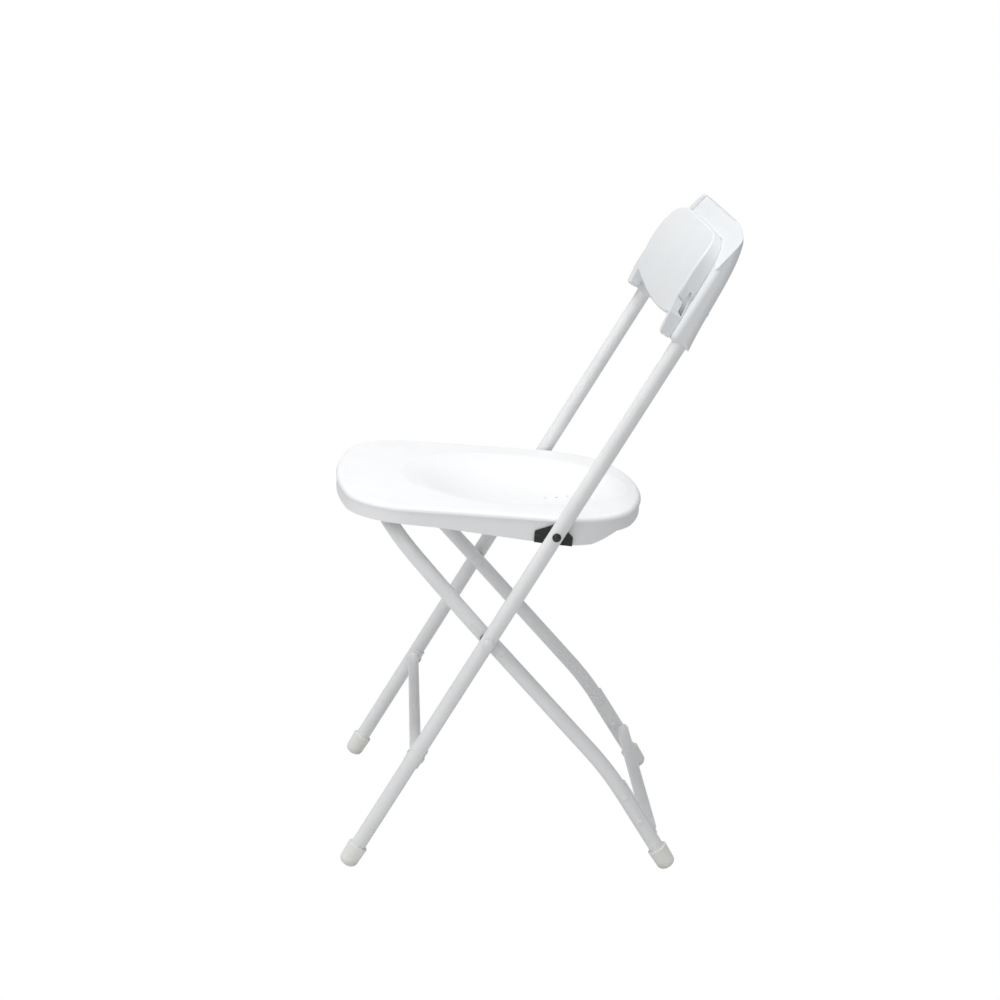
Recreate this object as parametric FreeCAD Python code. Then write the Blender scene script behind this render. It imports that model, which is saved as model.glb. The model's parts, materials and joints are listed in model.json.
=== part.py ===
import FreeCAD, Part

import math
import os

from FreeCAD import Placement, Rotation, Vector

# Folding chair: tubular steel X-frame, moulded plastic seat and backrest. Millimetres.
#
# Frame of the part: +Z up, the sitter faces -Y, the sitter's left is +X, the floor is Z = 0.
# The front legs run straight from the front feet up to the backrest. The rear legs are one bent tube: a U whose
# cross tube lies under the front of the seat. Both cross at the leg pivot, and the seat turns on the front legs.

# ---------------------------------------------------------------- driving dimensions
TUBE_DIA = 19.05            # 3/4 inch frame tube
TUBE_WALL = 1.6
TUBE_R = TUBE_DIA / 2

FRONT_HALF = 206.5          # front leg axis from the middle plane
REAR_HALF = 186.0           # rear leg axis from the middle plane, below the leg pivot
FRONT_LEAN = 60.66          # front leg above the horizontal, degrees
FOOT_AXIS_Z = 14.0          # height at which leg axes are measured at the feet
FRONT_FOOT_Y = -204.15      # front leg axis at that height

LEG_PIVOT_S = 323.3         # along the front leg, from its foot point
SEAT_PIVOT_S = 481.6
PRESS_START_S = 779.0       # the leg's top end is pressed flat inside the backrest
PRESS_END_S = 794.0
FRONT_TUBE_TOP_S = 824.0
PRESSED_HALF = 3.6
PRESSED_HALF_WIDTH = 12.6
BACK_RIVET_S = 803.0
RIVET_SEAT_R = 4.8
RIVET_SEAT_Y = 9.0          # where the backrest rivet's head sits on the shell
SLEEVE_PLAY = 0.06

REAR_BEND = (113.7, 127.7)  # Y, Z of the gentle bend low on the rear leg
REAR_FOOT_Y = 189.05
REAR_BEND_R = 400.0
REAR_TOP_REACH = 199.6      # leg pivot to the axis of the cross tube under the seat
REAR_TOP_RISE = 47.2        # slope of that length, degrees
REAR_TOP_HALF = 166.0       # where the leaning leg axis meets the cross tube axis
REAR_CORNER_R = 80.0
LEAN_START = 36.0           # straight length above the leg pivot before the leg leans in
LEAN_R = 420.0

FOOT_R = 12.7               # foot cap
FOOT_TIP_R = 11.8
FOOT_DOME_R = 8.0
FOOT_LIP_S = 16.5
FOOT_LIP_R = 0.8
FOOT_SOCKET_PLAY = 0.05
FOOT_WEAR = 0.3             # depth worn off the dome by the floor

SHANK_R = 4.0               # pivot rivets
SHANK_PLAY = 0.05
BLIND_R = 2.4               # shank of the crossbar and backrest rivets
HEAD_RIM = 0.3              # share of a head's rise that is its straight rim
PIVOT_HEAD = (7.0, 3.0)     # rivet heads: radius, rise
SEAT_HEAD = (5.4, 2.6)
SEAT_TAIL = (6.5, 2.0)
BAR_HEAD = (4.2, 1.6)
SMALL_HEAD = (4.4, 1.6)
FLAT_HEAD = (4.6, 1.2)

SEAT_TILT = 2.25            # seat falls to the rear, degrees
SEAT_RIM_W = 19.8           # rim plane above the seat pivot
SEAT_HALF = 194.5
SEAT_FRONT_U = -272.6       # front and rear edges from the seat pivot
SEAT_REAR_U = 120.4
SEAT_WALL = 4.0
SEAT_EDGE_R = 6.5
SEAT_ROLL_W = 13.9          # the rolled rim ends here and the skirt goes on a step further in
SKIRT_STEP = 1.2
FRONT_BOW_R = 560.0
FRONT_CORNER_R = 85.0
REAR_BOW_R = 380.0
REAR_TAPER_R = 110.0

BACK_TOP_S = 913.0          # backrest, along the front leg direction
BACK_BOTTOM_S = 755.0
BACK_HALF = 222.0
BACK_WALL = 3.5
BACK_BOW = 6.5              # how far the shell's middle lies behind its sides
BACK_CORNER_R = 12.0
BACK_EDGE_R = 9.0
BACK_FRONT_R = 7.0
PANEL_TOP_S = 886.0
PANEL_BACK_N = 14.5         # plane where the front panel meets the rear shell
PANEL_GAP = 0.3
PANEL_HOLLOW = 9.0          # how far the panel's middle lies behind its sides
PANEL_EDGE_R = 2.5
LOBE_RISE = 4.5
LOBE_CORNER_R = 4.0

CROSSBAR_R = 7.15           # front crossbar
REAR_BAR_R = 8.2            # rear crossbar
SADDLE_T = 1.6
SADDLE_GAP = 0.06

# ---------------------------------------------------------------- places worked out from them
LEAN = math.radians(FRONT_LEAN)


def front_point(s, n=0.0, x=0.0):
    """A point s along the front leg and n forward of its axis."""
    return Vector(
        x,
        FRONT_FOOT_Y + s * math.cos(LEAN) - n * math.sin(LEAN),
        FOOT_AXIS_Z + s * math.sin(LEAN) + n * math.cos(LEAN),
    )


LEG_PIVOT = front_point(LEG_PIVOT_S)
SEAT_PIVOT = front_point(SEAT_PIVOT_S)
REAR_FOOT = Vector(0, REAR_FOOT_Y, FOOT_AXIS_Z)
REAR_KNEE = Vector(0, *REAR_BEND)
REAR_DOWN = (REAR_FOOT - REAR_KNEE).normalize()
REAR_TOP = LEG_PIVOT + Vector(
    0, -math.cos(math.radians(REAR_TOP_RISE)), math.sin(math.radians(REAR_TOP_RISE))
) * REAR_TOP_REACH

# Two local frames carry most of the pieces. In the leg frame X is across, Y points rearward from the leg axis
# and Z runs up the front leg. In the seat frame X is across, Y rearward along the rim and Z up from the pivot.
LEG_FRAME = Placement(front_point(0), Rotation(Vector(1, 0, 0), FRONT_LEAN - 90))
SEAT_FRAME = Placement(SEAT_PIVOT, Rotation(Vector(1, 0, 0), -SEAT_TILT))
REAR_FOOT_FRAME = Placement(
    REAR_FOOT,
    Rotation(Vector(1, 0, 0), math.degrees(math.atan2(-REAR_DOWN.z, -REAR_DOWN.y)) - 90),
)

ACROSS = Vector(1, 0, 0)
REARWARD = Vector(0, 1, 0)
UP = Vector(0, 0, 1)


# ---------------------------------------------------------------- helpers
def export(name, shape, frame=None):
    shape = shape.copy()
    if frame is not None:
        shape.transformShape(frame.toMatrix(), True)
    if not shape.isValid():
        raise ValueError(name + " is not a valid shape")
    shape.exportStep("parts/" + name + ".step")
    print(f"{name:28s} solids {len(shape.Solids)}  volume {shape.Volume / 1000:.1f} cm3")


def group(shapes):
    return Part.makeCompound(shapes)


def mirrored(shape):
    return shape.mirror(Vector(0, 0, 0), ACROSS)


def both_sides(shape):
    return group([shape, mirrored(shape)])


def rod(radius, start, end):
    span = end - start
    return Part.makeCylinder(radius, span.Length, start, span)


def tube(outer, wall, start, end):
    return rod(outer, start, end).cut(rod(outer - wall, start, end))


def prism(points, depth):
    """A closed polygon swept along a vector."""
    wire = Part.makePolygon(points + points[:1])
    return Part.Face(wire).extrude(depth)


def side_prism(profile, half_width):
    """A (Y, Z) polygon swept across the chair, symmetric about the middle plane."""
    points = [Vector(-half_width, y, z) for y, z in profile]
    return prism(points, Vector(2 * half_width, 0, 0))


def rounded_path(points, radii):
    """Straight runs through the points, with a tangent arc of the given radius at each inner point."""
    edges = []
    here = points[0]
    for i, radius in enumerate(radii, start=1):
        back = (points[i - 1] - points[i]).normalize()
        ahead = (points[i + 1] - points[i]).normalize()
        half_turn = (math.pi - back.getAngle(ahead)) / 2
        setback = radius * math.tan(half_turn)
        start = points[i] + back * setback
        end = points[i] + ahead * setback
        bisector = (back + ahead).normalize()
        middle = points[i] + bisector * (radius / math.cos(half_turn) - radius)
        edges.append(Part.makeLine(here, start))
        edges.append(Part.Arc(start, middle, end).toShape())
        here = end
    edges.append(Part.makeLine(here, points[-1]))
    return Part.Wire(edges)


def swept(path, radius):
    start = path.Edges[0].valueAt(path.Edges[0].FirstParameter)
    heading = path.Edges[0].tangentAt(path.Edges[0].FirstParameter)
    section = Part.Wire([Part.makeCircle(radius, start, heading)])
    return path.makePipeShell([section], True, True)


def dome_edges(head, base, sense):
    """Half the outline of a shallow rivet head along Z: a short rim, then a spherical cap down to the axis."""
    radius, rise = head
    rim = rise * HEAD_RIM
    sphere_r = (radius ** 2 + (rise - rim) ** 2) / (2 * (rise - rim))
    half_turn = math.asin(radius / sphere_r) / 2
    centre = base + sense * (rise - sphere_r)
    corner = Vector(radius, 0, base)
    shoulder = Vector(radius, 0, base + sense * rim)
    crown = Vector(sphere_r * math.sin(half_turn), 0, centre + sense * sphere_r * math.cos(half_turn))
    tip = Vector(0, 0, base + sense * rise)
    return [Part.makeLine(corner, shoulder), Part.Arc(shoulder, crown, tip).toShape()]


def turned_rivet(shank_r, start, end, head, tail=None):
    """A rivet turned as one profile: a shank from start to end, a head past the end and a tail before the start."""
    length = (end - start).Length
    shank_low = Vector(shank_r, 0, 0)
    shank_high = Vector(shank_r, 0, length)
    edges = dome_edges(head, length, 1)
    edges += [Part.makeLine(shank_low, shank_high), Part.makeLine(shank_high, Vector(head[0], 0, length))]
    low_z = 0.0
    if tail is None:
        edges.append(Part.makeLine(Vector(0, 0, 0), shank_low))
    else:
        low_z = -tail[1]
        edges += dome_edges(tail, 0.0, -1)
        edges.append(Part.makeLine(Vector(tail[0], 0, 0), shank_low))
    edges.append(Part.makeLine(Vector(0, 0, length + head[1]), Vector(0, 0, low_z)))
    section = Part.Wire(Part.sortEdges(edges)[0])
    rivet = Part.Face(section).revolve(Vector(0, 0, 0), UP, 360)
    rivet.transformShape(Placement(start, Rotation(UP, end - start)).toMatrix(), True)
    return rivet


def foot_cap(slope):
    """A domed cap on the end of a leg along +Z that stands at a slope, low enough to be cut flat by the floor."""
    reach = FOOT_AXIS_Z + FOOT_WEAR - FOOT_DOME_R - (FOOT_TIP_R - FOOT_DOME_R) * math.cos(slope)
    bend_s = -reach / math.sin(slope)
    tip_s = bend_s - FOOT_DOME_R
    flat_x = FOOT_TIP_R - FOOT_DOME_R
    half = math.sqrt(0.5) * FOOT_DOME_R
    tip = Vector(0, 0, tip_s)
    flat_end = Vector(flat_x, 0, tip_s)
    dome_middle = Vector(flat_x + half, 0, bend_s - half)
    dome_end = Vector(FOOT_TIP_R, 0, bend_s)
    lip_low = Vector(FOOT_R, 0, FOOT_LIP_S - FOOT_LIP_R)
    lip_high = Vector(FOOT_R - FOOT_LIP_R, 0, FOOT_LIP_S)
    top = Vector(0, 0, FOOT_LIP_S)
    section = Part.Wire(
        [
            Part.makeLine(tip, flat_end),
            Part.Arc(flat_end, dome_middle, dome_end).toShape(),
            Part.makeLine(dome_end, lip_low),
            Part.makeLine(lip_low, lip_high),
            Part.makeLine(lip_high, top),
            Part.makeLine(top, tip),
        ]
    )
    body = Part.Face(section).revolve(Vector(0, 0, 0), UP, 360)
    bore = Part.makeCylinder(TUBE_R + FOOT_SOCKET_PLAY, FOOT_LIP_S + 1, Vector(0, 0, 0), UP)
    return body.cut(bore)


def standing(cap, frame):
    """The cap in the part's frame, cut off level with the floor."""
    cap.transformShape(frame.toMatrix(), True)
    return cap.cut(Part.makeBox(100, 1000, 50, Vector(-50, -500, -50)))


def half_sleeve(radius, thickness, low, high, from_deg, to_deg):
    """A curved plate round the Z axis between two angles from +X."""
    outer = Part.makeCylinder(radius + thickness, high - low, Vector(0, 0, low), UP, to_deg - from_deg)
    inner = Part.makeCylinder(radius, high - low, Vector(0, 0, low), UP)
    plate = outer.cut(inner)
    plate.rotate(Vector(0, 0, 0), UP, from_deg)
    return plate


# ---------------------------------------------------------------- front frame
FRONT_BAR_S = 154.0
FRONT_SADDLE = (140.0, 166.0)
BAR_RIVET_DEPTH = 6.0


def pressed_tube(grow, low_s):
    """The left front leg's outside above a height: round, then pressed flat where the backrest is riveted on."""
    round_r = TUBE_R + grow
    wide = PRESSED_HALF_WIDTH + grow
    thin = PRESSED_HALF + grow
    round_part = rod(round_r, Vector(FRONT_HALF, 0, low_s), Vector(FRONT_HALF, 0, PRESS_START_S))
    sections = [Part.Wire([Part.makeCircle(round_r, Vector(FRONT_HALF, 0, PRESS_START_S), UP)])]
    for s in (PRESS_END_S, FRONT_TUBE_TOP_S + grow):
        oval = Part.Ellipse(Vector(0, 0, 0), wide, thin).toShape()
        oval.translate(Vector(FRONT_HALF, 0, s))
        sections.append(Part.Wire([oval]))
    press = Part.makeLoft(sections[:2], True, True)
    flat = Part.makeLoft(sections[1:], True, True)
    return round_part.fuse([press, flat]).removeSplitter()


def front_leg():
    """The sitter's left front leg, in the leg frame."""
    leg = pressed_tube(0.0, 0.0).cut(pressed_tube(-TUBE_WALL, -1.0))
    for s in (LEG_PIVOT_S, SEAT_PIVOT_S):
        leg = leg.cut(rod(SHANK_R + SHANK_PLAY, Vector(FRONT_HALF - 20, 0, s), Vector(FRONT_HALF + 20, 0, s)))
    back_hole = rod(BLIND_R + SHANK_PLAY, Vector(FRONT_HALF, -10, BACK_RIVET_S), Vector(FRONT_HALF, 10, BACK_RIVET_S))
    leg = leg.cut(back_hole)
    for place, outward in front_bar_rivet_sites():
        leg = leg.cut(rod(BLIND_R + SHANK_PLAY, place - outward * TUBE_R, place + outward * 3))
    return leg


def front_bar_rivet_sites():
    """Where the crossbar's two rivets enter the left leg: on its rear side and on its inner front side."""
    sites = []
    for s, angle in ((153.0, 90.0), (152.0, 215.0)):
        outward = Vector(math.cos(math.radians(angle)), math.sin(math.radians(angle)), 0)
        sites.append((Vector(FRONT_HALF, 0, s) + outward * (TUBE_R + SADDLE_GAP + SADDLE_T), outward))
    return sites


def front_crossbar():
    """A round bar whose flattened ends hug the inner and rear sides of the front legs."""
    low, high = FRONT_SADDLE
    saddle = half_sleeve(TUBE_R + SADDLE_GAP, SADDLE_T, low, high, 80, 235)
    saddle.translate(Vector(FRONT_HALF, 0, 0))
    end = Vector(FRONT_HALF - TUBE_R - 0.5, 0, FRONT_BAR_S)
    bar = rod(CROSSBAR_R, Vector(-end.x, 0, FRONT_BAR_S), end)
    bar = bar.fuse([saddle, mirrored(saddle)])
    leg = rod(TUBE_R + SADDLE_GAP, Vector(FRONT_HALF, 0, low - 9), Vector(FRONT_HALF, 0, high + 9))
    bar = bar.cut([leg, mirrored(leg)])
    for place, outward in front_bar_rivet_sites():
        hole = rod(BLIND_R + SHANK_PLAY, place - outward * 8, place)
        spot_face = rod(BAR_HEAD[0] + SHANK_PLAY, place, place + outward * 6)
        bar = bar.cut([hole, mirrored(hole), spot_face, mirrored(spot_face)])
    return bar.removeSplitter()


def front_crossbar_rivets():
    rivets = []
    for place, outward in front_bar_rivet_sites():
        rivets.append(turned_rivet(BLIND_R, place - outward * BAR_RIVET_DEPTH, place, BAR_HEAD))
    return group(rivets + [mirrored(r) for r in rivets])


def leg_pivot_rivets():
    """One rivet a side through both legs, domed outside and inside, in the leg frame."""
    outer = Vector(FRONT_HALF + TUBE_R, 0, LEG_PIVOT_S)
    inner = Vector(REAR_HALF - TUBE_R - 0.3, 0, LEG_PIVOT_S)
    return both_sides(turned_rivet(SHANK_R, inner, outer, PIVOT_HEAD, PIVOT_HEAD))


def leg_pivot_washers():
    """Thin washers that keep the crossing legs apart."""
    inner = REAR_HALF + TUBE_R + 0.3
    outer = FRONT_HALF - TUBE_R
    ring = tube(9.0, 9.0 - SHANK_R - 0.1, Vector(inner, 0, LEG_PIVOT_S), Vector(outer, 0, LEG_PIVOT_S))
    return both_sides(ring)


def seat_pivot_rivets():
    """One rivet a side through the front leg and the seat's pivot block, in the leg frame."""
    outer = Vector(FRONT_HALF + TUBE_R, 0, SEAT_PIVOT_S)
    inner = Vector(BLOCK_INNER_X - 0.4, 0, SEAT_PIVOT_S)
    return both_sides(turned_rivet(SHANK_R, inner, outer, SEAT_HEAD, SEAT_TAIL))


# ---------------------------------------------------------------- backrest
# Heights run up the front leg. Faces that bow across the chair are given by their depth at the sides.
REAR_FACE = (               # height, Y at the sides: round the tube, over its pressed end, then forward to the top
    (740, 12.9), (770, 11.0), (800, 8.9), (830, 7.4), (856, 5.6), (880, 2.2), (907, -6.4), (925, -14.5),
)
PANEL_FACE = (              # height, Y at the sides
    (735, -27.0), (775, -30.8), (808, -34.2), (835, -35.2), (862, -33.4), (905, -26.0),
)
TOP_FRONT = ((-6.0, 913.5), (-9.5, 912.0))
SHOULDER_FRONT = ((-16.5, 903.0), (-16.5, 887.0))
SHOULDER_LOW = 884.5
SHOULDER_PLANE = (0.12, -1.0, 0.20)  # the shoulders fall back to the sides along this plane
SHOULDER_PLANE_AT = (222.0, -14.2, 850.0)
LEDGE_HALF = 141.0          # between the shoulders a ledge is set back
LEDGE = ((-60.0, 880.0), (-14.2, 880.0), (-14.2, 886.5), (-10.2, 905.0), (-8.5, 911.5), (-60.0, 960.0))
TOP_RUN_HALF = 148.0        # straight part of the top edge
TOP_DROP_R = 215.0
SIDE_TAPER = 4.0
SLEEVE_INNER_X = 190.0
SHELL_MIDDLE_LOW = 772.0
HOLLOW_HALF = 187.0
HOLLOW_FRONT = (
    (-60.0, 781.0), (40.0, 781.0), (40.0, 902.0), (-7.2, 902.0), (-10.7, 889.0), (-10.7, 881.0), (-60.0, 881.0),
)
CLIP_FLOOR_X = 197.0
CLIP_SLOT = (               # Y, height: the pocket in each side where the shell's clip holds the panel
    (-15.6, 785.0), (-22.0, 788.0), (-22.5, 800.0), (-31.0, 803.4), (-31.0, 804.9), (-21.6, 803.0), (-21.2, 815.0),
    (-19.0, 815.0), (-17.2, 800.0),
)
LOBE_INNER_X = 186.0
LOBE_OUTER_X = 207.5
LOBE_SIDE_S = 784.0         # where the lobe's outer side starts to slope back into the panel's
LOBE_INNER_TOP_S = 792.0
LOBE_CHIN = ((-40.0, 768.0), (-24.0, 755.0), (-40.0, 745.0))
PANEL_SIDE = (              # half outline of the panel, from the end of its straight top round to the lobe
    (112, PANEL_TOP_S), (152, 883), (177, 875.2), (190.5, 862.5), (198, 845), (200, 826), (197.5, 806),
)
PANEL_SMILE = 11.5          # the bottom edge hangs lower in the middle
PANEL_BOTTOM_S = 780.0


def across_arc(y_side, bow, s, half=BACK_HALF):
    """An arc across the chair at one height, its middle further rearward than its ends."""
    return Part.Arc(Vector(-half, y_side, s), Vector(0, y_side + bow, s), Vector(half, y_side, s)).toShape()


def bowed_solid(rows, bow, y_far, shift=0.0):
    """Everything between a bowed face, moved by a shift, and the flat plane Y = y_far."""
    sections = []
    for s, y_side in rows:
        arc = across_arc(y_side + shift, bow, s)
        corners = [Vector(BACK_HALF, y_side + shift, s), Vector(BACK_HALF, y_far, s)]
        corners += [Vector(-p.x, p.y, s) for p in reversed(corners)]
        lines = [Part.makeLine(a, b) for a, b in zip(corners, corners[1:])]
        sections.append(Part.Wire([arc] + lines))
    return Part.makeLoft(sections, True, False)


def spline_edge(points, heading_in, heading_out):
    curve = Part.BSplineCurve()
    curve.interpolate(Points=points, InitialTangent=heading_in, FinalTangent=heading_out)
    return curve.toShape()


def symmetric_face(right_edges, extra=()):
    edges = list(right_edges) + [mirrored(e) for e in right_edges] + list(extra)
    return Part.Face(Part.Wire(Part.sortEdges(edges)[0]))


def back_outline():
    """Front view of the rear shell: the top edge falls to the sides, and a sleeve runs down each leg."""
    drop_end = math.asin((BACK_HALF - TOP_RUN_HALF) / TOP_DROP_R)
    arc_points = [
        Vector(
            TOP_RUN_HALF + TOP_DROP_R * math.sin(turn), 0, BACK_TOP_S - TOP_DROP_R * (1 - math.cos(turn))
        )
        for turn in (0, drop_end / 2, drop_end)
    ]
    corners = [
        arc_points[2],
        Vector(BACK_HALF - SIDE_TAPER, 0, BACK_BOTTOM_S),
        Vector(SLEEVE_INNER_X, 0, BACK_BOTTOM_S),
        Vector(SLEEVE_INNER_X, 0, SHELL_MIDDLE_LOW),
        Vector(0, 0, SHELL_MIDDLE_LOW),
    ]
    right = [Part.makeLine(Vector(0, 0, BACK_TOP_S), arc_points[0]), Part.Arc(*arc_points).toShape()]
    right += [Part.makeLine(a, b) for a, b in zip(corners, corners[1:])]
    return symmetric_face(right)


def backrest_block():
    """The rear shell's outside, with its side and top edges rounded."""
    outline = back_outline()
    outline.translate(Vector(0, -60, 0))
    block = outline.extrude(Vector(0, 120, 0))
    corners = [e for e in block.Edges if e.Length > 100 and abs(e.CenterOfMass.x) > BACK_HALF - 1]
    block = block.makeFillet(BACK_CORNER_R, [e for e in corners if e.CenterOfMass.z > 850])
    block = block.common(bowed_solid(REAR_FACE, BACK_BOW, -70.0))
    rear = [e for e in block.Edges if e.CenterOfMass.y > -30 and abs(e.CenterOfMass.x) > 215 and e.Length > 60]
    return block.makeFillet(BACK_EDGE_R, rear)


def backrest_rear_shell():
    front_y = -PANEL_BACK_N + PANEL_GAP
    profile = [
        (40.0, BACK_BOTTOM_S - 5), (40.0, BACK_TOP_S + 5), *TOP_FRONT, *SHOULDER_FRONT, (front_y, SHOULDER_LOW),
        (front_y, BACK_BOTTOM_S - 5),
    ]
    shell = backrest_block().common(side_prism(profile, BACK_HALF + 5))
    fall = Part.makeCylinder(150, 60, Vector(*SHOULDER_PLANE_AT), Vector(*SHOULDER_PLANE))
    shell = shell.cut([side_prism(LEDGE, LEDGE_HALF), fall, mirrored(fall)])
    front_edges = [e for e in shell.Edges if e.Length > 60 and abs(e.CenterOfMass.x) > 212 and e.CenterOfMass.y < -8]
    shell = shell.makeFillet(BACK_FRONT_R, front_edges)
    behind_panel = panel_outline(BACK_WALL)
    behind_panel.translate(Vector(0, -60, 0))
    hollow = side_prism(HOLLOW_FRONT, HOLLOW_HALF).common(bowed_solid(REAR_FACE, BACK_BOW, -70.0, -BACK_WALL))
    shell = shell.cut(hollow.common(behind_panel.extrude(Vector(0, 120, 0))))
    bore = pressed_tube(SLEEVE_PLAY, BACK_BOTTOM_S - 20)
    shell = shell.cut([bore, mirrored(bore)])
    seat = Vector(FRONT_HALF, RIVET_SEAT_Y, BACK_RIVET_S)
    hole = rod(BLIND_R + SHANK_PLAY, seat - REARWARD * 20, seat).fuse(rod(RIVET_SEAT_R, seat, seat + REARWARD * 20))
    return shell.cut([hole, mirrored(hole)]).removeSplitter()


def panel_outline(inset=0.0):
    """Front view of the panel. The body has bowed sides and a hanging bottom edge."""
    side = [Vector(x - inset, 0, z - (inset if z > 850 else 0)) for x, z in PANEL_SIDE]
    corner = Vector(LOBE_INNER_X - inset, 0, PANEL_BOTTOM_S + inset)
    low = Vector(0, 0, PANEL_BOTTOM_S - PANEL_SMILE + inset)
    right = [
        Part.makeLine(Vector(0, 0, side[0].z), side[0]),
        spline_edge(side, ACROSS, corner - side[-1]),
        Part.makeLine(side[-1], corner),
    ]
    bottom = Part.Arc(corner, low, Vector(-corner.x, 0, corner.z)).toShape()
    return symmetric_face(right, [bottom])


def panel_lobe():
    """The tongue at each side of the panel that lies over the leg's sleeve."""
    corners = [
        Vector(LOBE_OUTER_X, -60, BACK_BOTTOM_S), Vector(LOBE_OUTER_X, -60, LOBE_SIDE_S),
        Vector(PANEL_SIDE[-1][0], -60, PANEL_SIDE[-1][1]), Vector(LOBE_INNER_X - 1, -60, LOBE_INNER_TOP_S),
        Vector(LOBE_INNER_X - 1, -60, BACK_BOTTOM_S + LOBE_RISE),
    ]
    lobe = prism(corners, Vector(0, 60 - PANEL_BACK_N, 0))
    tips = [e for e in lobe.Edges if e.Length > 40 and e.CenterOfMass.z < BACK_BOTTOM_S + 5]
    return lobe.makeFillet(LOBE_CORNER_R, tips)


def backrest_panel():
    outline = panel_outline()
    outline.translate(Vector(0, -60, 0))
    lobe = panel_lobe()
    body = outline.extrude(Vector(0, 60 - PANEL_BACK_N, 0)).fuse([lobe, mirrored(lobe)])
    panel = body.cut([bowed_solid(PANEL_FACE, PANEL_HOLLOW, -80.0), side_prism(LOBE_CHIN, BACK_HALF)])
    face_edges = [e for e in panel.Edges if e.Length > 100 and e.CenterOfMass.y < -PANEL_BACK_N - 1]
    panel = panel.makeFillet(PANEL_EDGE_R, face_edges)
    core = panel_outline(BACK_WALL)
    core.translate(Vector(0, -60, 0))
    core = core.extrude(Vector(0, 70, 0)).cut(bowed_solid(PANEL_FACE, PANEL_HOLLOW, -80.0, BACK_WALL))
    slot = prism([Vector(CLIP_FLOOR_X, y, s) for y, s in CLIP_SLOT], ACROSS * 30)
    return panel.cut([core, slot, mirrored(slot)]).removeSplitter()


def backrest_rivets():
    """One blind rivet a side, through the shell's rear wall into the pressed end of the leg."""
    base = Vector(FRONT_HALF, RIVET_SEAT_Y, BACK_RIVET_S)
    return both_sides(turned_rivet(BLIND_R, base - REARWARD * (RIVET_SEAT_Y + PRESSED_HALF), base, SMALL_HEAD))


# ---------------------------------------------------------------- rear legs
FLAT_DEPTH = 0.9            # the rear tube is pressed flat where the legs cross
FLAT_HALF = 28.0
REAR_SADDLE = (34.0, 114.0)  # up the rear leg from its foot point
REAR_RIVETS = (60.5, 98.0)
REAR_BAR_UP = 45.0


def rear_leg_path():
    foot = REAR_FOOT + ACROSS * REAR_HALF
    knee = REAR_KNEE + ACROSS * REAR_HALF
    pivot = LEG_PIVOT + ACROSS * REAR_HALF
    rise = (REAR_TOP - LEG_PIVOT).normalize()
    lean = pivot + rise * LEAN_START
    corner = REAR_TOP + ACROSS * REAR_TOP_HALF
    half = [foot, knee, lean, corner]
    other = [Vector(-p.x, p.y, p.z) for p in reversed(half)]
    radii = [REAR_BEND_R, LEAN_R, REAR_CORNER_R]
    return rounded_path(half + other, radii + radii[::-1])


def rear_leg_frame():
    path = rear_leg_path()
    frame = swept(path, TUBE_R).cut(swept(path, TUBE_R - TUBE_WALL))
    hole = rod(SHANK_R + SHANK_PLAY, LEG_PIVOT + ACROSS * 160, LEG_PIVOT + ACROSS * 215)
    run = (REAR_KNEE - LEG_PIVOT).normalize()
    side = run.cross(ACROSS).normalize()
    flat = prism(
        [
            LEG_PIVOT + ACROSS * (REAR_HALF + TUBE_R - FLAT_DEPTH) + run * a + side * b
            for a, b in ((-FLAT_HALF, -12), (FLAT_HALF, -12), (FLAT_HALF, 12), (-FLAT_HALF, 12))
        ],
        ACROSS * 5,
    )
    cutters = [hole, mirrored(hole), flat, mirrored(flat)]
    for place, outward in rear_bar_rivet_sites():
        bolt = rod(BLIND_R + SHANK_PLAY, place - outward * 8, place + outward * 30)
        cutters += [bolt, mirrored(bolt)]
    return frame.cut(cutters)


def rear_bar_rivet_sites():
    """Rivets through the left rear leg along X, from the inner face of the saddle, in the part's frame."""
    inner = REAR_HALF - TUBE_R - SADDLE_GAP - SADDLE_T
    return [(REAR_FOOT - REAR_DOWN * up + ACROSS * inner, ACROSS) for up in REAR_RIVETS]


def rear_crossbar():
    """A round bar whose flattened ends turn up along the inner and rear sides of the rear legs."""
    low, high = REAR_SADDLE
    saddle = half_sleeve(TUBE_R + SADDLE_GAP, SADDLE_T, low, high, 75, 235)
    saddle.transformShape(REAR_FOOT_FRAME.toMatrix(), True)
    saddle.translate(ACROSS * REAR_HALF)
    rearward = ACROSS.cross(REAR_DOWN).normalize()
    if rearward.y < 0:
        rearward = -rearward
    centre = REAR_FOOT - REAR_DOWN * REAR_BAR_UP + rearward * 6.5
    bar = rod(REAR_BAR_R, centre - ACROSS * REAR_HALF, centre + ACROSS * REAR_HALF)
    leg_axis = REAR_FOOT + ACROSS * REAR_HALF
    legs = swept(rear_leg_path(), TUBE_R + SADDLE_GAP)
    outside = rod(60, leg_axis + REAR_DOWN * 20, leg_axis - REAR_DOWN * 160).cut(
        rod(TUBE_R + SADDLE_GAP + SADDLE_T, leg_axis + REAR_DOWN * 20, leg_axis - REAR_DOWN * 160)
    )
    outside = outside.common(Part.makeBox(200, 600, 600, Vector(REAR_HALF, -100, -100)))
    bar = bar.cut([outside, mirrored(outside)])
    bar = bar.fuse([saddle, mirrored(saddle)]).cut(legs)
    for place, outward in rear_bar_rivet_sites():
        hole = rod(BLIND_R + SHANK_PLAY, place - outward * 8, place + outward * 8)
        bar = bar.cut([hole, mirrored(hole)])
    return bar.removeSplitter()


def rear_crossbar_rivets():
    rivets = []
    outer_x = REAR_HALF + TUBE_R
    for place, outward in rear_bar_rivet_sites():
        outer = Vector(outer_x, place.y, place.z)
        rivets.append(turned_rivet(BLIND_R, place, outer, FLAT_HEAD, SMALL_HEAD))
    return group(rivets + [mirrored(r) for r in rivets])


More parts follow.
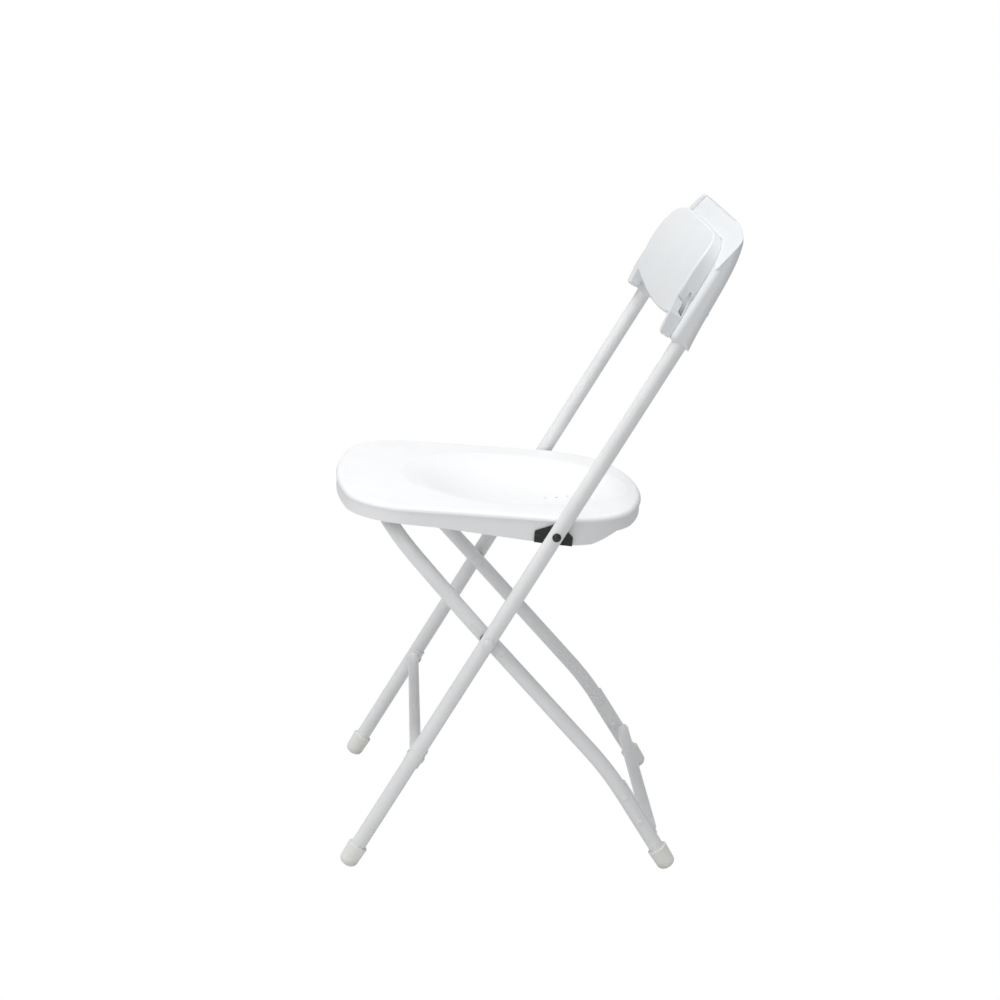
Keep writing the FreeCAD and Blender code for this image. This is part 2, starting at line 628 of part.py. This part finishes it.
# ---------------------------------------------------------------- seat
DISH_REACH = 133.0          # radius of the dish where the profile's share is 1
DISH_MIDDLE_U = -43.0
DISH_RIM = 24.7             # profile height that lies in the rim plane
DISH_CEILING = 60.0
DISH_PROFILE = (            # share of the reach, height above the lowest point
    (0.0, 0.0), (0.2, 0.8), (0.4, 3.4), (0.6, 8.8), (0.78, 15.6), (0.92, 20.8), (1.0, 22.9), (1.1, 24.7), (1.2, 26.2),
)
DRAIN_U = (0.0, 14.0, 28.0)
DRAIN_R = 2.0
SKIRT_LOWEST_W = -40.0
SKIRT = [                   # bottom edge of the skirt: U, W below the rim
    (-290, 22.0), (-184, 22.0), (-139, 23.5), (-12, 33.0), (28, 34.5), (47, 33.5), (62, 28.0), (78, 20.5), (150, 20.5),
]
BLOCK_INNER_X = 182.0
BLOCK_OUTER_X = 196.4
BLOCK_GAP = 0.2
NOTCH = [(-25.5, -22.0), (-25.5, 1.5), (2.0, 13.0), (21.5, -3.5), (21.5, -22.0)]
TRACK_X = (60.0, 74.0)
TRACK_REST_U = -213.6       # cross tube axis in the seat frame, chair open


def seat_outline(inset, w):
    """Seat plan as tangent arcs: bowed front, round corners, sides, long rear corners, bowed rear."""
    half = SEAT_HALF - inset
    front_u = SEAT_FRONT_U + inset
    rear_u = SEAT_REAR_U - inset
    edges = []
    joints = []
    for edge_u, sense, bow, corner in (
        (front_u, 1, FRONT_BOW_R - inset, FRONT_CORNER_R - inset),
        (rear_u, -1, REAR_BOW_R - inset, REAR_TAPER_R - inset),
    ):
        bow_centre = edge_u + sense * bow
        cx = half - corner
        cu = bow_centre - sense * math.sqrt((bow - corner) ** 2 - cx ** 2)
        reach = Vector(cx, cu - bow_centre, 0).normalize()
        touch = Vector(cx + reach.x * corner, cu + reach.y * corner, w)
        turn = math.atan2(reach.y, reach.x) / 2
        middle = Vector(cx + corner * math.cos(turn), cu + corner * math.sin(turn), w)
        side = Vector(half, cu, w)
        edges.append(Part.Arc(Vector(-touch.x, touch.y, w), Vector(0, edge_u, w), touch).toShape())
        corner_arc = Part.Arc(touch, middle, side).toShape()
        edges += [corner_arc, mirrored(corner_arc)]
        joints.append(side)
    straight = Part.makeLine(joints[0], joints[1])
    edges += [straight, mirrored(straight)]
    return Part.Face(Part.Wire(Part.sortEdges(edges)[0]))


def seat_block(inset, top_w, edge_r, low_w=SKIRT_LOWEST_W):
    block = seat_outline(inset, low_w).extrude(UP * (top_w - low_w))
    rim = [e for e in block.Edges if e.BoundBox.ZMin > top_w - 0.01]
    return block.makeFillet(edge_r, rim)


def dish(drop):
    """The seat's hollow: a soft bowl, nearly level at its edge, lowered by a drop for the underside."""
    points = [Vector(share * DISH_REACH, 0, height) for share, height in DISH_PROFILE]
    curve = spline_edge(points, ACROSS, points[-1] - points[-2])
    ceiling_out = Vector(points[-1].x, 0, DISH_CEILING)
    ceiling_in = Vector(0, 0, DISH_CEILING)
    lines = [
        Part.makeLine(points[-1], ceiling_out),
        Part.makeLine(ceiling_out, ceiling_in),
        Part.makeLine(ceiling_in, points[0]),
    ]
    bowl = Part.Face(Part.Wire([curve] + lines)).revolve(Vector(0, 0, 0), UP, 360)
    bowl.translate(Vector(0, DISH_MIDDLE_U, SEAT_RIM_W - DISH_RIM - drop))
    return bowl


def skirt_cutter():
    """Everything below the bottom edge of the skirt."""
    line = [(u, SEAT_RIM_W - depth) for u, depth in SKIRT]
    return side_prism(line + [(150, -80.0), (-290, -80.0)], SEAT_HALF + 10)


def pivot_notch(gap, x_from, x_to):
    """The five-sided notch round the seat pivot, made smaller all round by a gap."""
    centre_u = sum(u for u, w in NOTCH) / len(NOTCH)
    points = []
    for u, w in NOTCH:
        inward = -gap if u > centre_u else gap
        points.append(Vector(x_from, u + inward, w - gap))
    return prism(points, Vector(x_to - x_from, 0, 0))


def seat_shell():
    roll = seat_block(0.0, SEAT_RIM_W, SEAT_EDGE_R)
    roll = roll.common(seat_outline(0.0, SEAT_ROLL_W).extrude(UP * SEAT_RIM_W))
    outer = roll.fuse(seat_outline(SKIRT_STEP, SKIRT_LOWEST_W).extrude(UP * (SEAT_ROLL_W + 1 - SKIRT_LOWEST_W)))
    inner = seat_block(SEAT_WALL, SEAT_RIM_W - SEAT_WALL, SEAT_EDGE_R / 2, -60.0)
    inner = inner.cut(dish(SEAT_WALL))
    shell = outer.cut(dish(0.0)).cut(inner).cut(skirt_cutter())
    notch = pivot_notch(0.0, BLOCK_INNER_X, SEAT_HALF + 10)
    shell = shell.cut([notch, mirrored(notch)])
    for u in DRAIN_U:
        shell = shell.cut(Part.makeCylinder(DRAIN_R, 80, Vector(0, u, -50), UP))
    return shell.removeSplitter()


def seat_pivot_block():
    """Nylon block that fills the notch in the skirt and carries the pivot rivet, in the seat frame."""
    plug = pivot_notch(BLOCK_GAP, BLOCK_INNER_X, BLOCK_OUTER_X)
    flange = Part.makeBox(20.0, 56.0, 20.0, Vector(BLOCK_INNER_X, -30.0, -14.0))
    block = plug.fuse(flange.common(seat_outline(SEAT_WALL + BLOCK_GAP, -50.0).extrude(UP * 80)))
    below = skirt_cutter()
    block = block.cut(below)
    bore = rod(SHANK_R + SHANK_PLAY, Vector(150, 0, 0), Vector(220, 0, 0))
    return block.cut(bore).removeSplitter()


def seat_track():
    """Guide under the deck: a hook in front of the cross tube, then a rail that slopes down to the rear."""
    rest = TRACK_REST_U
    top = TUBE_R + 0.6
    profile = [
        (rest - 26, SEAT_RIM_W - SEAT_WALL - 0.05), (rest - 26, -3.0), (rest - 18, -8.0), (rest - TUBE_R - 1.2, -6.0),
        (rest - TUBE_R - 0.5, 2.0), (rest - TUBE_R - 0.5, top), (rest + 2.0, top),
        (-52.0, -19.5), (-36.0, -20.0), (-24.0, -12.0), (-24.0, SEAT_RIM_W - SEAT_WALL - 0.05),
    ]
    wide = prism([Vector(TRACK_X[0], u, w) for u, w in profile], ACROSS * (TRACK_X[1] - TRACK_X[0]))
    return wide.cut(dish(SEAT_WALL + 0.05)).removeSplitter()


# ---------------------------------------------------------------- build
def main():
    os.makedirs("parts", exist_ok=True)
    leg = front_leg()
    export("front_leg_left", leg, LEG_FRAME)
    export("front_leg_right", mirrored(leg), LEG_FRAME)
    export("front_crossbar", front_crossbar(), LEG_FRAME)
    export("front_crossbar_rivets", front_crossbar_rivets(), LEG_FRAME)
    for place, frame, slope, half in (
        ("front_foot_", LEG_FRAME, LEAN, FRONT_HALF),
        ("rear_foot_", REAR_FOOT_FRAME, math.asin(-REAR_DOWN.z), REAR_HALF),
    ):
        cap = standing(foot_cap(slope), frame)
        for side, x in (("left", half), ("right", -half)):
            foot = cap.copy()
            foot.translate(ACROSS * x)
            export(place + side, foot)
    export("leg_pivot_rivets", leg_pivot_rivets(), LEG_FRAME)
    export("leg_pivot_washers", leg_pivot_washers(), LEG_FRAME)
    export("seat_pivot_rivets", seat_pivot_rivets(), LEG_FRAME)
    export("backrest_rear_shell", backrest_rear_shell(), LEG_FRAME)
    export("backrest_panel", backrest_panel(), LEG_FRAME)
    export("backrest_rivets", backrest_rivets(), LEG_FRAME)
    export("rear_leg_frame", rear_leg_frame())
    export("rear_crossbar", rear_crossbar())
    export("rear_crossbar_rivets", rear_crossbar_rivets())
    export("seat_shell", seat_shell(), SEAT_FRAME)
    block = seat_pivot_block()
    export("seat_pivot_block_left", block, SEAT_FRAME)
    export("seat_pivot_block_right", mirrored(block), SEAT_FRAME)
    track = seat_track()
    export("seat_track_left", track, SEAT_FRAME)
    export("seat_track_right", mirrored(track), SEAT_FRAME)
    print("leg pivot", LEG_PIVOT, "seat pivot", SEAT_PIVOT, "cross tube", REAR_TOP)


main()
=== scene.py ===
import json
import math

import bpy
from mathutils import Matrix, Vector


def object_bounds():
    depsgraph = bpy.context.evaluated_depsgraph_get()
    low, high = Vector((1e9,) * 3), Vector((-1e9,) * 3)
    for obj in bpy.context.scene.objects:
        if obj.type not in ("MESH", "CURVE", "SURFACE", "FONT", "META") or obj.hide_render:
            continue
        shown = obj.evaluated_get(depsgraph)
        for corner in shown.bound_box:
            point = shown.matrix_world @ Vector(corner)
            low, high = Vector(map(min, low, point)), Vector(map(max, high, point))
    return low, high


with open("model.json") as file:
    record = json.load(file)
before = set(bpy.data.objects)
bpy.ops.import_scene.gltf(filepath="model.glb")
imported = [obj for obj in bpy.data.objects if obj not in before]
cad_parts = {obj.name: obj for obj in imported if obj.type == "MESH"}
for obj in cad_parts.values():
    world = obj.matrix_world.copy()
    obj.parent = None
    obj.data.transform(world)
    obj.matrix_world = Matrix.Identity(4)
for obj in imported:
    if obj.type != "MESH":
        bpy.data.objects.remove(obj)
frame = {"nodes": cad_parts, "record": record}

CAD_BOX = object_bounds()
NODES = frame["nodes"]
SLOTS = {part["node"]: part["material_slot"] for part in frame["record"]["subparts"]}

# ---------------------------------------------------------------- lengths in metres
FOOT_BAND = 0.012           # height over which the feet pick up floor dirt
FLOOR_DROP = 0.06           # the folded rear legs reach below the feet, so the floor lies lower
FLOOR_SIZE = 12.0

# ---------------------------------------------------------------- colours
# A tint is a factor for red, green and blue. A level is the grey that the tint multiplies.
NEUTRAL = (1.0, 1.0, 1.0)
WHITE = (1.0, 1.0, 1.0, 1.0)
SKY_WHITE = (0.97, 0.985, 1.0, 1.0)

COAT_LEVEL, COAT_TINT = 0.75, (0.99, 1.0, 1.0)
SEAT_LEVEL, SEAT_TINT = 0.80, (0.995, 1.0, 1.005)
BACK_LEVEL, BACK_TINT = 0.70, (0.98, 1.0, 1.015)
FOOT_LIGHT_LEVEL, FOOT_LIGHT_TINT = 0.76, (1.0, 1.0, 0.955)
FOOT_DARK_LEVEL, FOOT_DARK_TINT = 0.70, (1.0, 1.0, 0.94)
DIRT_LEVEL, DIRT_TINT = 0.30, (1.0, 0.96, 0.90)
NYLON_LEVEL, NYLON_STREAK_LEVEL = 0.012, 0.035
RIVET_LEVEL, RIVET_WORN_LEVEL = 0.010, 0.022
FLOOR_LEVEL = 0.75

# Marks: the share of the surface's level that they keep, and their tints.
COAT_PATCH_SHADE = 0.94
COAT_SPECK_SHADE, COAT_SPECK_TINT = 0.72, (1.0, 0.98, 0.95)
FLOW_SHADE = 0.97
SCUFF_SHADE, SCUFF_TINT = 0.93, (1.0, 0.99, 0.97)

# ---------------------------------------------------------------- roughness ranges
COAT_ROUGHNESS = (0.30, 0.44)
SEAT_ROUGHNESS = (0.42, 0.56)
BACK_ROUGHNESS = (0.40, 0.54)
FOOT_ROUGHNESS = (0.42, 0.62)
NYLON_ROUGHNESS = (0.38, 0.58)
RIVET_ROUGHNESS = (0.22, 0.36)
FLOOR_ROUGHNESS = 0.9

# ---------------------------------------------------------------- noise
NOISE_MIDDLE = (0.3, 0.7)   # most values of a noise lie between these
WHOLE = (0.0, 1.0)


# ---------------------------------------------------------------- node helpers
class Shader:
    """A material's node tree, built a node at a time."""

    def __init__(self, name):
        self.material = bpy.data.materials.new(name)
        self.material.use_nodes = True
        self.nodes = self.material.node_tree.nodes
        self.links = self.material.node_tree.links
        self.surface = self.nodes["Principled BSDF"]
        self.place = self.nodes.new("ShaderNodeTexCoord").outputs["Object"]

    def join(self, value, socket):
        """Sets a socket to a number or a colour, or links an output to it."""
        if isinstance(value, bpy.types.NodeSocket):
            self.links.new(value, socket)
        else:
            socket.default_value = value

    def noise(self, size, detail=3.0, roughness=0.55, stretch=(1, 1, 1)):
        """Noise whose blobs are about a size in metres."""
        place = self.place
        if stretch != (1, 1, 1):
            mapping = self.nodes.new("ShaderNodeMapping")
            mapping.inputs["Scale"].default_value = stretch
            self.links.new(place, mapping.inputs["Vector"])
            place = mapping.outputs["Vector"]
        node = self.nodes.new("ShaderNodeTexNoise")
        node.inputs["Scale"].default_value = 1.0 / size
        node.inputs["Detail"].default_value = detail
        node.inputs["Roughness"].default_value = roughness
        self.links.new(place, node.inputs["Vector"])
        return node.outputs["Fac"]

    def cells(self, size):
        """Small domes about a size apart, in metres."""
        node = self.nodes.new("ShaderNodeTexVoronoi")
        node.inputs["Scale"].default_value = 1.0 / size
        self.links.new(self.place, node.inputs["Vector"])
        return node.outputs["Distance"]

    def spread(self, value, source, target):
        """Stretches a value from its source range to its target range, and clamps it there."""
        node = self.nodes.new("ShaderNodeMapRange")
        node.inputs["From Min"].default_value, node.inputs["From Max"].default_value = source
        node.inputs["To Min"].default_value, node.inputs["To Max"].default_value = target
        self.links.new(value, node.inputs["Value"])
        return node.outputs["Result"]

    def blend(self, share, first, second):
        """The first colour at share 0, the second at share 1."""
        node = self.nodes.new("ShaderNodeMix")
        node.data_type = "RGBA"
        self.join(share, node.inputs["Factor"])
        self.join(first, node.inputs["A"])
        self.join(second, node.inputs["B"])
        return node.outputs["Result"]

    def multiply(self, first, second):
        node = self.nodes.new("ShaderNodeMath")
        node.operation = "MULTIPLY"
        self.join(first, node.inputs[0])
        self.join(second, node.inputs[1])
        return node.outputs["Value"]

    def height(self):
        """Height above the frame's floor, in metres."""
        node = self.nodes.new("ShaderNodeSeparateXYZ")
        self.links.new(self.place, node.inputs["Vector"])
        return node.outputs["Z"]

    def bump(self, height, depth, normal=None):
        """The normal of a relief with a depth in metres, on top of a finer relief's normal."""
        node = self.nodes.new("ShaderNodeBump")
        node.inputs["Distance"].default_value = depth
        self.links.new(height, node.inputs["Height"])
        if normal is not None:
            self.links.new(normal, node.inputs["Normal"])
        return node.outputs["Normal"]

    def finish(self, colour, roughness, normal):
        self.join(colour, self.surface.inputs["Base Color"])
        self.join(roughness, self.surface.inputs["Roughness"])
        self.links.new(normal, self.surface.inputs["Normal"])
        return self.material


def grey(level, tint=NEUTRAL):
    return (level * tint[0], level * tint[1], level * tint[2], 1.0)


# ---------------------------------------------------------------- materials
def powder_coat(name, level, tint):
    """White powder coat on steel: faint orange peel, and slightly greyer handled patches."""
    s = Shader(name)
    patches = s.spread(s.noise(0.05), (0.35, 0.7), WHOLE)
    colour = s.blend(patches, grey(level, tint), grey(level * COAT_PATCH_SHADE, tint))
    specks = s.spread(s.noise(0.0035, detail=1.0), (0.72, 0.78), (0.0, 0.25))
    colour = s.blend(specks, colour, grey(level * COAT_SPECK_SHADE, COAT_SPECK_TINT))
    roughness = s.spread(s.noise(0.02), NOISE_MIDDLE, COAT_ROUGHNESS)
    peel = s.bump(s.noise(0.0016, detail=2.0), depth=0.00006)
    normal = s.bump(s.noise(0.012, detail=1.0), depth=0.00012, normal=peel)
    s.surface.inputs["Coat Weight"].default_value = 0.25
    s.surface.inputs["Coat Roughness"].default_value = 0.18
    return s.finish(colour, roughness, normal)


def moulded_plastic(name, level, tint, roughness_range):
    """White moulded polypropylene: a fine pebbled skin, soft flow marks and faint scuffs."""
    s = Shader(name)
    flow_marks = s.noise(0.12, detail=2.0, stretch=(1, 0.5, 1))
    flow = s.spread(flow_marks, NOISE_MIDDLE, WHOLE)
    colour = s.blend(flow, grey(level, tint), grey(level * FLOW_SHADE, tint))
    scratches = s.noise(0.03, detail=6.0, roughness=0.7, stretch=(0.3, 3.0, 1.0))
    scuff = s.spread(scratches, (0.60, 0.74), (0.0, 0.35))
    colour = s.blend(scuff, colour, grey(level * SCUFF_SHADE, SCUFF_TINT))
    roughness = s.spread(s.noise(0.018, detail=4.0), NOISE_MIDDLE, roughness_range)
    pebble = s.bump(s.cells(0.0011), depth=0.00005)
    normal = s.bump(s.noise(0.05, detail=2.0), depth=0.0003, normal=pebble)
    s.surface.inputs["IOR"].default_value = 1.49
    s.surface.inputs["Subsurface Weight"].default_value = 0.06
    s.surface.inputs["Subsurface Scale"].default_value = 0.004
    return s.finish(colour, roughness, normal)


def foot_plastic(name):
    """Off-white caps, greyed and scratched where they meet the floor."""
    s = Shader(name)
    light = grey(FOOT_LIGHT_LEVEL, FOOT_LIGHT_TINT)
    dark = grey(FOOT_DARK_LEVEL, FOOT_DARK_TINT)
    base = s.blend(s.noise(0.02), light, dark)
    near_floor = s.spread(s.height(), (0.0, FOOT_BAND), (1.0, 0.0))
    grime = s.spread(s.noise(0.004, detail=5.0), (0.35, 0.65), (0.1, 0.8))
    colour = s.blend(s.multiply(near_floor, grime), base, grey(DIRT_LEVEL, DIRT_TINT))
    roughness = s.spread(s.noise(0.006), NOISE_MIDDLE, FOOT_ROUGHNESS)
    normal = s.bump(s.noise(0.0009, detail=3.0), depth=0.00008)
    return s.finish(colour, roughness, normal)


def black_nylon(name):
    """Glass-filled nylon: near black, with faint pale streaks."""
    s = Shader(name)
    streaks = s.spread(s.noise(0.004, detail=5.0, stretch=(1, 0.25, 1)), (0.55, 0.8), WHOLE)
    colour = s.blend(streaks, grey(NYLON_LEVEL), grey(NYLON_STREAK_LEVEL))
    roughness = s.spread(s.noise(0.005), NOISE_MIDDLE, NYLON_ROUGHNESS)
    normal = s.bump(s.noise(0.0008, detail=3.0), depth=0.00006)
    return s.finish(colour, roughness, normal)


def black_rivet(name):
    """Blackened rivet heads, a little worn."""
    s = Shader(name)
    colour = s.blend(s.noise(0.003), grey(RIVET_LEVEL), grey(RIVET_WORN_LEVEL))
    roughness = s.spread(s.noise(0.002, detail=4.0), NOISE_MIDDLE, RIVET_ROUGHNESS)
    normal = s.bump(s.noise(0.0015, detail=3.0), depth=0.00005)
    return s.finish(colour, roughness, normal)


# One material for each of the record's slots.
MATERIALS = {
    "frame_paint": powder_coat("white_powder_coat", COAT_LEVEL, COAT_TINT),
    "painted_rivet": powder_coat("painted_rivet", COAT_LEVEL, COAT_TINT),
    "seat_plastic": moulded_plastic("white_seat_plastic", SEAT_LEVEL, SEAT_TINT, SEAT_ROUGHNESS),
    "back_plastic": moulded_plastic("white_back_plastic", BACK_LEVEL, BACK_TINT, BACK_ROUGHNESS),
    "foot_plastic": foot_plastic("off_white_foot"),
    "black_nylon": black_nylon("black_nylon"),
    "black_rivet": black_rivet("black_rivet"),
}


def dress_cad_nodes():
    """Gives each CAD node the material of its slot."""
    for name, obj in NODES.items():
        obj.data.materials.clear()
        obj.data.materials.append(MATERIALS[SLOTS[name]])


# ---------------------------------------------------------------- camera
CAMERA_AT = Vector((2.9959, -0.1839, 1.1477))
CAMERA_YAW = math.radians(88.207)       # from +Y towards -X
CAMERA_PITCH = math.radians(14.03)      # downward
CAMERA_ROLL = math.radians(2.253)
CAMERA_LENS_MM = 85.81
CAMERA_SENSOR_MM = 36.0
CAMERA_SHIFT = (0.0493, 0.0193)


def make_camera():
    """The reference view: from the chair's left side, a little above the backrest."""
    data = bpy.data.cameras.new("camera")
    data.sensor_width = CAMERA_SENSOR_MM
    data.lens = CAMERA_LENS_MM
    data.shift_x, data.shift_y = CAMERA_SHIFT
    data.dof.use_dof = False
    camera = bpy.data.objects.new("camera", data)
    flat = math.cos(CAMERA_PITCH)
    ahead = Vector((
        -math.sin(CAMERA_YAW) * flat,
        math.cos(CAMERA_YAW) * flat,
        -math.sin(CAMERA_PITCH),
    ))
    level_right = ahead.cross(Vector((0, 0, 1))).normalized()
    level_up = level_right.cross(ahead)
    right = level_right * math.cos(CAMERA_ROLL) + level_up * math.sin(CAMERA_ROLL)
    up = level_up * math.cos(CAMERA_ROLL) - level_right * math.sin(CAMERA_ROLL)
    turn = Matrix((right, up, -ahead)).transposed()
    camera.matrix_world = Matrix.Translation(CAMERA_AT) @ turn.to_4x4()
    bpy.context.scene.collection.objects.link(camera)
    bpy.context.scene.camera = camera


# ---------------------------------------------------------------- stage and light
WORLD_STRENGTH = 0.46

# Each area light: its name, its place and the sides of its rectangle in metres, and its watts.
AREA_LIGHTS = (
    ("key_front_above", (1.1, -2.2, 2.4), (1.6, 1.6), 17),
    ("top", (0.0, -0.3, 3.0), (1.8, 1.8), 54),
    ("camera_side", (2.6, -0.9, 1.3), (1.2, 1.2), 12),
)


def seen_white(nodes, links, shader, white_type):
    """Plain white to the camera, while the light on the object comes from the given shader."""
    white = nodes.new(white_type)
    white.inputs["Color"].default_value = WHITE
    mix = nodes.new("ShaderNodeMixShader")
    path = nodes.new("ShaderNodeLightPath")
    links.new(path.outputs["Is Camera Ray"], mix.inputs["Fac"])
    links.new(shader.outputs[0], mix.inputs[1])
    links.new(white.outputs[0], mix.inputs[2])
    return mix


def make_world():
    """A pale room that lights the object evenly."""
    world = bpy.data.worlds.new("studio")
    world.use_nodes = True
    nodes = world.node_tree.nodes
    fill = nodes["Background"]
    fill.inputs["Color"].default_value = SKY_WHITE
    fill.inputs["Strength"].default_value = WORLD_STRENGTH
    links = world.node_tree.links
    seen = seen_white(nodes, links, fill, "ShaderNodeBackground")
    links.new(seen.outputs[0], nodes["World Output"].inputs["Surface"])
    bpy.context.scene.world = world


def make_floor():
    """A wide sheet of white paper. Its underside is clear, so the part can be seen from below."""
    bpy.ops.mesh.primitive_plane_add(size=FLOOR_SIZE, location=(0, 0, -FLOOR_DROP))
    floor = bpy.context.object
    floor.name = "studio_floor"
    material = bpy.data.materials.new("studio_floor")
    material.use_nodes = True
    nodes = material.node_tree.nodes
    paper = nodes["Principled BSDF"]
    paper.inputs["Base Color"].default_value = grey(FLOOR_LEVEL)
    paper.inputs["Roughness"].default_value = FLOOR_ROUGHNESS
    links = material.node_tree.links
    seen = seen_white(nodes, links, paper, "ShaderNodeEmission")
    clear = nodes.new("ShaderNodeBsdfTransparent")
    side = nodes.new("ShaderNodeNewGeometry")
    sheet = nodes.new("ShaderNodeMixShader")
    links.new(side.outputs["Backfacing"], sheet.inputs["Fac"])
    links.new(seen.outputs[0], sheet.inputs[1])
    links.new(clear.outputs[0], sheet.inputs[2])
    links.new(sheet.outputs[0], nodes["Material Output"].inputs["Surface"])
    floor.data.materials.append(material)


def area_light(name, place, target, size, power):
    """A white rectangle of light that faces the target."""
    data = bpy.data.lights.new(name, "AREA")
    data.shape = "RECTANGLE"
    data.size, data.size_y = size
    data.energy = power
    light = bpy.data.objects.new(name, data)
    light.location = place
    light.rotation_mode = "QUATERNION"
    light.rotation_quaternion = (target - Vector(place)).to_track_quat("-Z", "Y")
    bpy.context.scene.collection.objects.link(light)


def make_lights():
    lo, hi = CAD_BOX
    centre = (lo + hi) / 2
    for name, place, size, power in AREA_LIGHTS:
        area_light(name, place, centre, size, power)


dress_cad_nodes()
make_camera()
make_world()
make_floor()
make_lights()
bpy.context.scene.view_settings.view_transform = "Standard"
